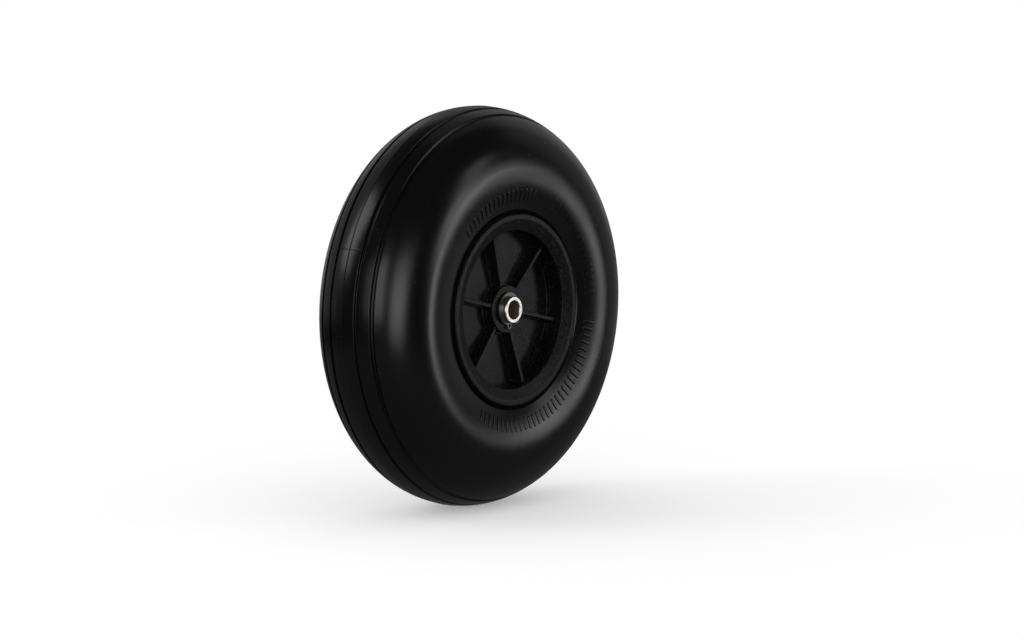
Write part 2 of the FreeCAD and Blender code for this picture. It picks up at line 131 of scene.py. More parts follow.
POCKET_CORNER = 1.2 * MM
BOSS_RADIUS = 10.6 * MM
BOSS_DROP = 5.4 * MM
BOSS_ROUND = 0.4 * MM
HUB_WALL = 3.0 * MM
HUB_ROUND = 0.15 * MM
REGISTER_LENGTH = 2.0 * MM
REGISTER_WALL = 1.3 * MM
REGISTER_CLEARANCE = 0.06 * MM
RUNNING_CLEARANCE = 0.05 * MM

# sleeve and circlips
SLEEVE_RADIUS = half_span("axle_sleeve", 2)
SLEEVE_END = half_span("axle_sleeve", 1)
SLEEVE_BORE = 4.0 * MM
SLEEVE_CHAMFER = 0.35 * MM
CHAMFER_ROUND = 0.1 * MM
CIRCLIP_SEAT = 5.75 * MM
CIRCLIP_EDGE = 0.06 * MM
GROOVE_PLAY = 0.05 * MM
GROOVE_ROUND = 0.05 * MM
SEAT_CLEARANCE = 0.03 * MM
CIRCLIP_WIDTH = 1.8 * MM
CIRCLIP_WIDTH_AT_LUG = 1.1 * MM
CIRCLIP_ANGLE = math.radians(157.5)
LUG_CIRCLE = 7.25 * MM
LUG_HALF_ANGLE = math.radians(22.5)
LUG_RADIUS = 1.5 * MM
LUG_HOLE = 0.75 * MM
LUG_FLAT = 0.15 * MM
LUG_FILLET = 0.8 * MM


# ---------------------------------------------------------------- mesh helpers

WELD = 0.002 * MM
LEAST_LENGTH = 1e-20            # stands in for a zero length, which nothing can be divided by


def place(radius, reach, turn):
    """Points from radius, outward reach on the front and turn clockwise from the top."""
    return np.stack([radius * np.sin(turn), -reach + 0 * turn, radius * np.cos(turn)], axis=-1)


def grid_quads(rows, columns, wrap_rows=False, wrap_columns=False, first=0):
    """Quads of a grid of points stored row by row; a wrapped direction closes on itself."""
    row = np.arange(rows if wrap_rows else rows - 1)
    column = np.arange(columns if wrap_columns else columns - 1)
    row, column = np.meshgrid(row, column, indexing="ij")
    after = (row + 1) % rows
    beside = (column + 1) % columns
    corners = [row * columns + column, row * columns + beside,
               after * columns + beside, after * columns + column]
    return (np.stack(corners, axis=-1).reshape(-1, 4) + first).tolist()


def make_piece(name, points, faces, material):
    """Closed mesh from points and faces. Doubles are merged, faces point outwards, and each
    normal is the mean of its faces weighted by their areas, so flats stay flat beside roundings."""
    mesh = bpy.data.meshes.new(name)
    mesh.from_pydata(points.tolist(), [], faces)
    shell = bmesh.new()
    shell.from_mesh(mesh)
    bmesh.ops.remove_doubles(shell, verts=shell.verts, dist=WELD)
    bmesh.ops.recalc_face_normals(shell, faces=shell.faces)
    shell.to_mesh(mesh)
    shell.free()
    weigh_normals(mesh)
    mesh.materials.append(material)
    piece = bpy.data.objects.new(name, mesh)
    bpy.context.scene.collection.objects.link(piece)
    return piece


def weigh_normals(mesh):
    """Sets each vertex normal to the area-weighted mean of its faces' normals."""
    count = len(mesh.vertices)
    mesh.calc_loop_triangles()
    coordinates = np.empty(count * 3)
    mesh.vertices.foreach_get("co", coordinates)
    coordinates = coordinates.reshape(-1, 3)
    corners = np.empty(len(mesh.loop_triangles) * 3, dtype=np.int64)
    mesh.loop_triangles.foreach_get("vertices", corners)
    corners = corners.reshape(-1, 3)
    a, b, c = (coordinates[corners[:, k]] for k in range(3))
    areas = np.cross(b - a, c - a)
    normals = np.zeros((count, 3))
    for k in range(3):
        np.add.at(normals, corners[:, k], areas)
    length = np.linalg.norm(normals, axis=1, keepdims=True)
    normals /= np.maximum(length, LEAST_LENGTH)
    mesh.polygons.foreach_set("use_smooth", np.ones(len(mesh.polygons), dtype=bool))
    mesh.normals_split_custom_set_from_vertices(normals.tolist())


def rounded_path(corners, steps=5):
    """Profile through corners, each (radius, reach, rounding): the roundings are arcs tangent to
    both sides, in equal steps, and a rounding of 0 keeps the corner."""
    points = np.array([corner[:2] for corner in corners])
    path = [points[0]]
    for index in range(1, len(corners) - 1):
        rounding = corners[index][2]
        here = points[index]
        if rounding == 0:
            path.append(here)
            continue
        before = points[index - 1] - here
        after = points[index + 1] - here
        before /= np.linalg.norm(before)
        after /= np.linalg.norm(after)
        half = math.acos(np.clip(np.dot(before, after), -1, 1)) / 2
        bisector = (before + after) / np.linalg.norm(before + after)
        centre = here + bisector * rounding / math.sin(half)
        start = here + before * rounding / math.tan(half) - centre
        sweep = math.pi - 2 * half
        if before[0] * after[1] - before[1] * after[0] > 0:
            sweep = -sweep
        for angle in np.linspace(0, sweep, steps + 1):
            cos, sin = math.cos(angle), math.sin(angle)
            path.append(centre + np.array([cos * start[0] - sin * start[1],
                                           sin * start[0] + cos * start[1]]))
    path.append(points[-1])
    return np.array(path)


def lathe(profile, turns):
    """Surface of revolution: a profile of (radius, reach) rows carried round the axle."""
    radius = profile[:, 0][:, None]
    reach = profile[:, 1][:, None]
    return place(radius, reach, np.asarray(turns)[None, :])


def to_rear(points):
    """The same place on the rear of the wheel: half a turn about Z."""
    return points * np.array([-1.0, -1.0, 1.0])


def smooth_step(value):
    """0 below 0, 1 above 1 and a smooth cubic between."""
    value = np.clip(value, 0, 1)
    return value * value * (3 - 2 * value)


# ---------------------------------------------------------------- shader helpers

class Wire:
    """A number's or colour's socket. Arithmetic on it adds Math nodes."""

    def __init__(self, tree, socket):
        self.tree = tree
        self.socket = socket

    def maths(self, operation, first, second):
        return self.tree.node("ShaderNodeMath", {"operation": operation}, {0: first, 1: second})

    def __add__(self, other):
        return self.maths("ADD", self, other)

    def __radd__(self, other):
        return self.maths("ADD", other, self)

    def __rsub__(self, other):
        return self.maths("SUBTRACT", other, self)

    def __mul__(self, other):
        return self.maths("MULTIPLY", self, other)

    def __rmul__(self, other):
        return self.maths("MULTIPLY", other, self)


class Tree:
    """A node tree, with a method that adds any node and short ones for those used most."""

    def __init__(self, owner):
        owner.use_nodes = True
        self.tree = owner.node_tree

    def node(self, kind, settings, inputs, output=0):
        """Adds a node: its settings first, then the values or links of its sockets."""
        made = self.tree.nodes.new(kind)
        for key, value in settings.items():
            setattr(made, key, value)
        for key, value in inputs.items():
            if isinstance(value, Wire):
                self.tree.links.new(value.socket, made.inputs[key])
            else:
                made.inputs[key].default_value = value
        return Wire(self, made.outputs[output]) if made.outputs else None

    def mix_colours(self, factor, low, high):
        """Colour that goes from low to high, each a colour or a wire, with the factor."""
        low, high = (end if isinstance(end, Wire) else (*end, 1.0) for end in (low, high))
        return self.node("ShaderNodeMix", {"data_type": "RGBA"},
                         {"Factor": factor, 6: low, 7: high}, output=2)

    def span(self, value, low, high, to_low, to_high):
        """Carries a value from one span to another, clamped."""
        ends = {"From Min": low, "From Max": high, "To Min": to_low, "To Max": to_high}
        return self.node("ShaderNodeMapRange", {"clamp": True}, {"Value": value, **ends})

    def seen(self, mirrored_share):
        """1 for what the camera sees, also through glass, and a share of it in reflections."""
        camera = self.node("ShaderNodeLightPath", {}, {}, output="Is Camera Ray")
        through = self.node("ShaderNodeLightPath", {}, {}, output="Is Transmission Ray")
        return camera + through + self.mirrored() * mirrored_share

    def mirrored(self):
        """1 for what a reflection shows."""
        return self.node("ShaderNodeLightPath", {}, {}, output="Is Glossy Ray")


class Surface(Tree):
    """One material: a Principled shader with its constant settings, on Object coordinates."""

    def __init__(self, name, **settings):
        self.material = bpy.data.materials.new(name)
        super().__init__(self.material)
        self.shader = self.tree.nodes["Principled BSDF"]
        for key, value in settings.items():
            self.shader.inputs[key.replace("_", " ")].default_value = value
        self.place = self.node("ShaderNodeTexCoord", {}, {}, output="Object")

    def feed(self, socket, wire):
        """Links a wire to a socket of the shader."""
        self.tree.links.new(wire.socket, self.shader.inputs[socket])

    def noise(self, size, detail=2.0, roughness=0.5):
        """Noise from 0 to 1 whose cells measure size."""
        look = {"Scale": 1 / size, "Detail": detail, "Roughness": roughness}
        return self.node("ShaderNodeTexNoise", {}, {"Vector": self.place, **look})

    def from_axle(self):
        """Distance from the wheel's axle."""
        factors = {0: self.place, 1: (1.0, 0.0, 1.0)}
        return self.length(self.node("ShaderNodeVectorMath", {"operation": "MULTIPLY"}, factors))

    def length(self, vector):
        """Length of a vector."""
        return self.node("ShaderNodeVectorMath", {"operation": "LENGTH"}, {0: vector}, output="Value")

    def bump(self, height, depth, strength=1.0):
        """Relief of the given depth under the shader's normal."""
        relief = {"Height": height, "Distance": depth, "Strength": strength}
        self.feed("Normal", self.node("ShaderNodeBump", {}, relief))


# ---------------------------------------------------------------- finishes

FOAM_BLACK = (0.0030, 0.0030, 0.0032)
DUST_GREY = (0.035, 0.035, 0.033)
BLACK = (0.0, 0.0, 0.0)
WHITE = (1.0, 1.0, 1.0)
FLECK_GREY = (0.015, 0.0152, 0.0152)
TOOL_MARK_GREY = (0.78, 0.76, 0.73)
TURNED_GREY = (0.88, 0.86, 0.83)
BORE_BROWN = (0.74, 0.66, 0.54)
STEEL_DARK = (0.15, 0.14, 0.125)
STEEL_LIGHT = (0.25, 0.235, 0.215)
TOOL_MARK_PITCH = 0.09 * MM
BORE_EDGE = (SLEEVE_BORE + 0.02 * MM, SLEEVE_BORE + 0.25 * MM)


def tyre_skin():
    """Closed skin of moulded polyurethane foam: deep black and glossy, slightly uneven, with fine
    pores and a trace of dust."""
    skin = Surface("foamed_polyurethane_skin")
    cloud = skin.noise(24 * MM, detail=3.0)
    grain = skin.noise(0.6 * MM, detail=3.0, roughness=0.6)
    patches = skin.span(skin.noise(11 * MM, detail=2.0), 0.45, 0.65, 0.0, 0.10)
    dust = skin.span(skin.noise(0.9 * MM, detail=1.0) + patches, 0.84, 0.90, 0.0, 1.0)
    skin.feed("Base Color", skin.mix_colours(dust, FOAM_BLACK, DUST_GREY))
    skin.feed("Roughness", skin.span(cloud, 0.3, 0.7, 0.19, 0.24) + grain * 0.04 + dust * 0.25)
    skin.bump(grain, 0.006 * MM, 0.6)
    return skin.material


def rim_plastic():
    """Black nylon with the grain of a spark-eroded mould: small pits and flecks, dull gloss."""
    plastic = Surface("spark_eroded_nylon", Specular_IOR_Level=0.31)
    pits = plastic.noise(0.85 * MM, detail=3.0, roughness=0.65)
    fleck = plastic.span(pits, 0.44, 0.66, 0.0, 1.0)
    cloud = plastic.noise(7 * MM, detail=2.0)
    plastic.feed("Base Color", plastic.mix_colours(fleck, BLACK, FLECK_GREY))
    plastic.feed("Roughness", plastic.span(cloud, 0.3, 0.7, 0.32, 0.36) + fleck * 0.10)
    plastic.bump(pits, 0.14 * MM, 1.0)
    return plastic.material


def turned_metal():
    """Turned aluminium with fine tool marks round the axle: bright outside, duller and warmer in
    the reamed bore."""
    metal = Surface("turned_aluminium", Metallic=1.0)
    along = metal.node("ShaderNodeSeparateXYZ", {}, {0: metal.place}, output="Y")
    path = (metal.from_axle() + along) * (1 / TOOL_MARK_PITCH)
    marks = metal.node("ShaderNodeTexNoise", {"noise_dimensions": "1D"},
                       {"W": path, "Scale": 1.0, "Detail": 2.0})
    outside = metal.span(metal.from_axle(), *BORE_EDGE, 0.0, 1.0)
    bright = metal.mix_colours(marks, TOOL_MARK_GREY, TURNED_GREY)
    metal.feed("Base Color", metal.mix_colours(outside, BORE_BROWN, bright))
    metal.feed("Roughness", metal.span(marks, 0.3, 0.7, 0.18, 0.30) + (1 - outside) * 0.18)
    metal.bump(marks, 0.004 * MM, 0.5)
    return metal.material


def spring_steel():
    """Stamped spring steel, dull and slightly warm."""
    steel = Surface("spring_steel", Metallic=1.0)
    cloud = steel.noise(0.8 * MM, detail=4.0)
    steel.feed("Base Color", steel.mix_colours(cloud, STEEL_DARK, STEEL_LIGHT))
    steel.feed("Roughness", steel.span(cloud, 0.3, 0.7, 0.34, 0.46))
    steel.bump(cloud, 0.01 * MM, 0.4)
    return steel.material


# ---------------------------------------------------------------- tyre

# points along each stretch of the tyre's section, and turns round the axle
TREAD_POINTS = 41
LIP_POINTS = 7
RIDGE_POINTS = 9
SEAM_POINTS = 13
SHOULDER_POINTS = 34
SIDEWALL_POINTS = 24
BEAD_STEPS = 6
TYRE_TURNS = 360
INSERT_TURNS = 11
RIDGE_SPAN = 2.0                # a ridge is sampled this many widths to each side
BELL_SPAN = 2.5                 # and so are the seam and the insert line
LEAST_STATION_GAP = 0.02 * MM
BAR_STATIONS = 19
BAR_SIDES = 16
BAR_END_POWER = 10              # the higher, the squarer a bar's ends
BAR_SIDE_POWER = 0.6            # the lower, the steeper its sides
BAR_TOP_POWER = 0.5             # the lower, the flatter its top


def tread_relief(reach):
    """Relief of the tread on the plain section: four grooves with rounded lips, the outer two with
    a low ridge along the floor, and the fine seam that the mould leaves on the mid-plane, which
    stands up to the tyre's full radius."""
    relief = SEAM_HEIGHT * (np.exp(-(reach / SEAM_WIDTH) ** 2) - 1 + (reach / reach.max()) ** 2)
    for groove in (CENTRE_GROOVE, SIDE_GROOVE):
        across = np.abs(np.abs(reach) - groove)
        past_lip = (across - GROOVE_WIDTH / 2 + GROOVE_LIP / 2) / GROOVE_LIP
        relief -= GROOVE_DEPTH * (1 - smooth_step(past_lip))
    return relief + RIDGE_HEIGHT * np.exp(-(across / RIDGE_WIDTH) ** 2)


def tread_stations():
    """Reaches at which the tread is sampled: even, and close together at the grooves and seam."""
    even = np.linspace(-1, 1, TREAD_POINTS) * (SIDE_GROOVE + TREAD_EDGE)
    lips = np.linspace(-1, 1, LIP_POINTS) * GROOVE_LIP / 2
    close = [sign * (groove + side * GROOVE_WIDTH / 2 + lips)
             for sign in (-1, 1) for groove in (CENTRE_GROOVE, SIDE_GROOVE) for side in (-1, 1)]
    ridge = np.linspace(-RIDGE_SPAN, RIDGE_SPAN, RIDGE_POINTS) * RIDGE_WIDTH
    close += [sign * SIDE_GROOVE + ridge for sign in (-1, 1)]
    seam = np.linspace(-BELL_SPAN, BELL_SPAN, SEAM_POINTS) * SEAM_WIDTH
    stations = np.unique(np.concatenate([even, seam, *close]))
    return stations[np.concatenate([[True], np.diff(stations) > LEAST_STATION_GAP])]


def tyre_profile():
    """Section of the tyre, (radius, reach): a full round tread and shoulders, a flatter sidewall
    down to the bead, and the plain seat on the rim."""
    tread = tread_stations()
    tread_radius = SECTION_CENTRE + np.sqrt(SECTION_RADIUS ** 2 - tread ** 2) + tread_relief(tread)
    edge = math.asin(tread[-1] / SECTION_RADIUS)
    swing = np.linspace(edge, math.pi / 2, SHOULDER_POINTS)[1:]
    shoulder = np.stack([SECTION_CENTRE + SECTION_RADIUS * np.cos(swing),
                         SECTION_RADIUS * np.sin(swing)], axis=1)
    bead_radius = FLANGE_RADIUS + BEAD_MOAT + BEAD_LIP
    fall = np.linspace(0, math.asin((SECTION_CENTRE - bead_radius) / SIDEWALL_RADIUS), SIDEWALL_POINTS)[1:]
    sidewall = np.stack([SECTION_CENTRE - SIDEWALL_RADIUS * np.sin(fall),
                         SECTION_RADIUS - SIDEWALL_RADIUS * (1 - np.cos(fall))], axis=1)
    seat = FLANGE_FACE - FLANGE_THICKNESS - BEAD_CLEARANCE
    bore = BARREL_RADIUS + BEAD_CLEARANCE
    # the bead's rounding takes the place of the last three points of the sidewall
    wall = sidewall[:-3]
    bead = rounded_path([
        (*wall[-1], 0),
        (*sidewall[-1], BEAD_ROUND),
        (FLANGE_RADIUS + BEAD_FOOT, seat, 0),
        (bore, seat, SEAT_ROUND),
        (bore, 0, 0),
    ], steps=BEAD_STEPS)[1:]
    front = np.concatenate([shoulder, wall, bead])
    rear = front[:-1][::-1] * np.array([1, -1])
    tread = np.stack([tread_radius, tread], axis=1)
    return np.concatenate([rear, tread, front])


def make_tyre(material):
    """The tyre: its section carried round the axle. The insert line is a fine raised bell that runs
    across the centre rib from groove to groove."""
    profile = tyre_profile()
    even = np.linspace(0, FULL_TURN, TYRE_TURNS, endpoint=False)
    near = np.linspace(-BELL_SPAN, BELL_SPAN, INSERT_TURNS) * INSERT_WIDTH / TYRE_RADIUS
    turns = np.unique(np.concatenate([even[np.abs(even - INSERT_TURN) > near[-1]], INSERT_TURN + near]))
    points = lathe(profile, turns)
    bell = np.exp(-((turns - INSERT_TURN) * TYRE_RADIUS / INSERT_WIDTH) ** 2)
    on_rib = smooth_step((CENTRE_GROOVE - GROOVE_WIDTH / 2 - np.abs(profile[:, 1])) / GROOVE_LIP)
    on_rib *= profile[:, 0] > SECTION_CENTRE        # the tread, not the seat on the rim
    raised = 1 + INSERT_HEIGHT / TYRE_RADIUS * bell[None, :] * on_rib[:, None]
    points[..., 0] *= raised
    points[..., 2] *= raised
    faces = grid_quads(len(profile), len(turns), wrap_rows=True, wrap_columns=True)
    tyre = make_piece("tyre_moulding", points.reshape(-1, 3), faces, material)
    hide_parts("tyre")
    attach(tyre, "wheel")


def bar_turns():
    """Turns of the raised bars: even in each of the arcs, which leave plain stretches between."""
    arcs = []
    for first, last in np.radians(BAR_ARCS):
        count = round((last - first) / BAR_PITCH) + 1
        arcs.append(np.linspace(first, last, count))
    return np.concatenate(arcs)


def make_bars(material):
    """Plain raised bars round both sidewalls, one mesh. Each bar is a closed tube that lies along
    the sidewall's section. Its own section is a flat-topped dome over a buried root: at the angle a
    round it, its half width is cos(a) to BAR_SIDE_POWER and its height is sin(a) to BAR_TOP_POWER.
    Both are sized by the root of 1 - u to BAR_END_POWER, u going from -1 to 1 along the bar."""
    turn = bar_turns()[:, None, None]
    along = np.sin(np.linspace(-math.pi / 2, math.pi / 2, BAR_STATIONS))[None, :, None]
    around = np.linspace(0, FULL_TURN, BAR_SIDES, endpoint=False)[None, None, :]
    size = (1 - along ** BAR_END_POWER) ** 0.5
    side = np.cos(around)
    rise = np.sin(around)
    across = np.sign(side) * np.abs(side) ** BAR_SIDE_POWER * size * BAR_WIDTH / 2
    dome = np.abs(rise) ** BAR_TOP_POWER * size * BAR_HEIGHT
    up = np.where(rise > 0, dome, -BAR_ROOT * (rise < 0))
    radius = BAR_CIRCLE + along * BAR_LENGTH / 2 + 0 * across
    lean = np.arcsin((SECTION_CENTRE - radius) / SIDEWALL_RADIUS)
    reach = SECTION_RADIUS - SIDEWALL_RADIUS * (1 - np.cos(lean)) + up * np.cos(lean)
    radius = radius - up * np.sin(lean)
    points = place(radius, reach, turn + across / radius)
    bars, stations, sides = points.shape[:3]
    one = np.array(grid_quads(stations, sides, wrap_columns=True))
    first = np.arange(2 * bars) * stations * sides
    faces = (one[None, :, :] + first[:, None, None]).reshape(-1, 4)
    front = points.reshape(-1, 3)
    both = np.concatenate([front, to_rear(front)])
    piece = make_piece("tyre_raised_bars", both, faces.tolist(), material)
    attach(piece, "wheel")


# ---------------------------------------------------------------- rim

# steps along each stretch of a pocket's outline and across a rib
ARC_STEPS = 40
CORNER_STEPS = 8
SIDE_STEPS = 24
RIB_STEPS = 4
QUARTER_POINTS = 5
FLOOR_RINGS = (0.8, 0.5, 0.2, 0.0)      # sizes of the rings on a pocket's floor, down to a point
RIB_EDGE = 0.18 * MM
LEDGE_EDGE = 0.06 * MM
FLOOR_FILLET = 0.4 * MM


def pocket_outline():
    """Outline of a pocket between two ribs, about the x axis: two arcs round the hub, two straight
    sides along the ribs and four rounded corners. Gives points, inward normals, and how far each
    point belongs to a rib's side (1) rather than to an arc (0)."""
    half_pitch = math.pi / RIB_COUNT
    inset = RIB_THICKNESS / 2

    def corner_centre(distance):
        across = inset + POCKET_CORNER
        along = math.sqrt(distance ** 2 - across ** 2)
        return np.array([along * math.cos(half_pitch) + across * math.sin(half_pitch),
                         along * math.sin(half_pitch) - across * math.cos(half_pitch)])

    def arc(centre, radius, start, end, steps, sign):
        """Points and inward normals of an arc, without its last point. The sign is 1 where the
        pocket lies outside the arc's circle, and -1 where it lies inside."""
        angle = np.linspace(start, end, steps + 1)[:-1]
        ray = np.stack([np.cos(angle), np.sin(angle)], axis=1)
        return centre + radius * ray, sign * ray

    outer = corner_centre(WELL_RADIUS - POCKET_CORNER)
    inner = corner_centre(BOSS_RADIUS + POCKET_CORNER)
    outer_bearing = math.atan2(outer[1], outer[0])
    inner_bearing = math.atan2(inner[1], inner[0])
    side = half_pitch + math.pi / 2
    axis = np.zeros(2)
    far_arc = arc(axis, WELL_RADIUS, -outer_bearing, outer_bearing, ARC_STEPS, -1)
    far_corner = arc(outer, POCKET_CORNER, outer_bearing, side, CORNER_STEPS, -1)
    near_corner = arc(inner, POCKET_CORNER, side, inner_bearing + math.pi, CORNER_STEPS, -1)
    near_arc = arc(axis, BOSS_RADIUS, inner_bearing, -inner_bearing, ARC_STEPS, 1)
    side_ray = np.array([math.cos(side), math.sin(side)])
    start = outer + POCKET_CORNER * side_ray
    end = inner + POCKET_CORNER * side_ray
    share = np.linspace(0, 1, SIDE_STEPS + 1)[:-1, None]
    straight = (start + (end - start) * share, np.repeat(-side_ray[None, :], SIDE_STEPS, axis=0))
    corner_share = np.linspace(0, 1, CORNER_STEPS + 1)[:-1]
    upper_points = np.concatenate([far_corner[0], straight[0], near_corner[0]])
    upper_normals = np.concatenate([far_corner[1], straight[1], near_corner[1]])
    upper_share = np.concatenate([corner_share, np.ones(SIDE_STEPS), 1 - corner_share])
    mirror = np.array([1, -1])
    # the lower side runs back outward: the mirror image of the upper one, in reverse
    last = np.array([BOSS_RADIUS * math.cos(inner_bearing), BOSS_RADIUS * math.sin(inner_bearing)])
    last_normal = last / np.linalg.norm(last)
    lower_points = np.concatenate([upper_points[1:], last[None, :]])[::-1] * mirror
    lower_normals = np.concatenate([upper_normals[1:], last_normal[None, :]])[::-1] * mirror
    lower_share = np.concatenate([upper_share[1:], [0.0]])[::-1]
    points = np.concatenate([far_arc[0], upper_points, near_arc[0], lower_points])
    normals = np.concatenate([far_arc[1], upper_normals, near_arc[1], lower_normals])
    shares = np.concatenate([np.zeros(ARC_STEPS), upper_share, np.zeros(ARC_STEPS), lower_share])
    return points, normals, smooth_step(shares)


def rib_top(radius):
    """Reach of a rib's top, which rises from the boss to the wall of the well."""
    share = (radius - BOSS_RADIUS) / (WELL_RADIUS - BOSS_RADIUS)
    low = FLANGE_FACE - RIB_DROP_AT_BOSS
    return low + share * (RIB_DROP_AT_BOSS - RIB_DROP_AT_WALL)


def pocket_rows():
    """Pocket as rows (x, y, reach): the outline moved inward step by step down a profile with a
    rounded rib edge, a ledge and a filleted floor, and then drawn in to a point on the floor."""
    points, normals, share = pocket_outline()
    top = rib_top(np.linalg.norm(points, axis=1))
    rounding = RIB_EDGE * share
    ledge = FLANGE_FACE - WELL_DEPTH + LEDGE_HEIGHT
    floor = FLANGE_FACE - WELL_DEPTH
    quarter = np.linspace(0, math.pi / 2, QUARTER_POINTS)
    rows = []

    def add(offset, reach):
        offset = offset + 0 * share
        flat = points + normals * offset[:, None]
        rows.append(np.concatenate([flat, (reach + 0 * share)[:, None]], axis=1))

    for angle in quarter:
        add(rounding * (math.sin(angle) - 1), top - rounding * (1 - math.cos(angle)))
    for angle in quarter:
        add(LEDGE_EDGE * (1 - math.cos(angle)), ledge + LEDGE_EDGE * (1 - math.sin(angle)))
    for angle in quarter:
        add(LEDGE_WIDTH - LEDGE_EDGE * (1 - math.sin(angle)), ledge - LEDGE_EDGE * (1 - math.cos(angle)))
    for angle in quarter:
        add(LEDGE_WIDTH + FLOOR_FILLET * (1 - math.cos(angle)),
            floor + FLOOR_FILLET * (1 - math.sin(angle)))
    edge = rows[-1]
    middle = np.array([(WELL_RADIUS + BOSS_RADIUS) / 2, 0, floor])
    for scale in FLOOR_RINGS:
        rows.append(middle + (edge - middle) * scale)
    return np.array(rows)


def turned(rows, turn):
    """Rows of (x, y, reach) about the x axis, put at a turn clockwise from the top."""
    radius = np.hypot(rows[..., 0], rows[..., 1])
    angle = turn + np.arctan2(rows[..., 1], rows[..., 0])
    return place(radius, rows[..., 2], angle)


def rim_mesh(register):
    """Points and quads of a rim half. The pockets and rib tops fill the ring between the well's
    wall and the boss; a turned profile goes from that wall over the lip and flange, back along the
    barrel, behind the floor, through the bore and over the boss to the ribs again. The register
    gives the wall of the joint's ring and the reach of its step."""
    points, faces, count = [], [], 0

    def add(block, wrap_rows=False, wrap_columns=False):
        nonlocal count
        rows, columns = block.shape[:2]
        points.append(block.reshape(-1, 3))
        faces.extend(grid_quads(rows, columns, wrap_rows, wrap_columns, first=count))
        count += rows * columns

    pocket = pocket_rows()
    pitch = FULL_TURN / RIB_COUNT
    side_count = 2 * CORNER_STEPS + SIDE_STEPS + 1
    upper = ARC_STEPS + np.arange(side_count)
    lower = (-np.arange(side_count)) % pocket.shape[1]
    across = np.linspace(0, 1, RIB_STEPS + 1)[None, :, None]
    for index in range(RIB_COUNT):
        rib = RIB_ANGLE + index * pitch
        add(turned(pocket, rib + pitch / 2), wrap_columns=True)
        before = turned(pocket[0, upper], rib - pitch / 2)[:, None, :]
        after = turned(pocket[0, lower], rib + pitch / 2)[:, None, :]
        strip = before + (after - before) * across
        # both ends of a rib's top lie on the circles of the wall and the boss
        for row, radius in ((0, WELL_RADIUS), (-1, BOSS_RADIUS)):
            lengths = np.linalg.norm(strip[row][:, [0, 2]], axis=1, keepdims=True)
            strip[row][:, [0, 2]] *= radius / lengths
        add(strip)

    def ring(row):
        """Turns of the points where the pockets and rib tops meet a circle."""
        first = np.arctan2(pocket[0, upper[row], 1], pocket[0, upper[row], 0])
        rib_share = np.linspace(first, pitch - first, RIB_STEPS + 1)[:-1]
        arc_share = np.linspace(-first, first, ARC_STEPS + 1)[:-1]
        one = np.concatenate([arc_share + pitch / 2, rib_share + pitch / 2])
        return np.concatenate([RIB_ANGLE + index * pitch + one for index in range(RIB_COUNT)])

    flange_back = FLANGE_FACE - FLANGE_THICKNESS
    floor_back = FLANGE_FACE - WELL_DEPTH - FLOOR_THICKNESS
    barrel_inside = BARREL_RADIUS - BARREL_WALL
    wall, step = register
    outside = rounded_path([
        (WELL_RADIUS, FLANGE_FACE - RIB_DROP_AT_WALL, 0),
        (WELL_RADIUS, FLANGE_FACE - DISH_DEPTH, LIP_ROUND),
        (FLANGE_RADIUS - FLANGE_BAND, FLANGE_FACE, DISH_ROUND),
        (FLANGE_RADIUS, FLANGE_FACE, FLANGE_ROUND),
        (FLANGE_RADIUS, flange_back, FLANGE_BACK_ROUND),
        (BARREL_RADIUS, flange_back, FLANGE_BACK_ROUND),
        (BARREL_RADIUS, 0, 0),
        (barrel_inside + wall, 0, 0),
        (barrel_inside + wall, step, 0),
        (barrel_inside, step, 0),
        (barrel_inside, floor_back, 0),
    ])
    hub = SLEEVE_RADIUS + RUNNING_CLEARANCE
    inside = rounded_path([
        (hub + HUB_WALL, floor_back, 0),
        (hub + HUB_WALL, 0, 0),
        (hub, 0, 0),
        (hub, FLANGE_FACE - BOSS_DROP, HUB_ROUND),
        (BOSS_RADIUS, FLANGE_FACE - BOSS_DROP, BOSS_ROUND),
        (BOSS_RADIUS, FLANGE_FACE - RIB_DROP_AT_BOSS, 0),
    ])
    shell = np.concatenate([lathe(outside, ring(0)), lathe(inside, ring(-1))])
    add(shell, wrap_columns=True)
    return np.concatenate(points), faces


def make_rims(material):
    """Both rim halves; the front barrel reaches into a rebate of the rear one."""
    halves = [
        ("rim_front", (REGISTER_WALL, -REGISTER_LENGTH), False),
        ("rim_rear", (REGISTER_WALL + REGISTER_CLEARANCE, REGISTER_LENGTH + REGISTER_CLEARANCE), True),
    ]
    for node, register, rear in halves:
        points, faces = rim_mesh(register)
        if rear:
            points = to_rear(points)
        rim = make_piece(node + "_moulding", points, faces, material)
        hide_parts(node)
        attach(rim, "wheel")


# ---------------------------------------------------------------- sleeve and circlips

# turns and steps of a rounding on the sleeve, and points along each arc of a circlip
SLEEVE_TURNS = 144
SLEEVE_STEPS = 3
RING_POINTS = 48
LUG_POINTS = 20
HOLLOW_POINTS = 8
HOLE_POINTS = 24


def circlip_faces():
    """Reach of a circlip's back and front, from the frame."""
    low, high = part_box("circlip_front")
    return -high[1], -low[1]


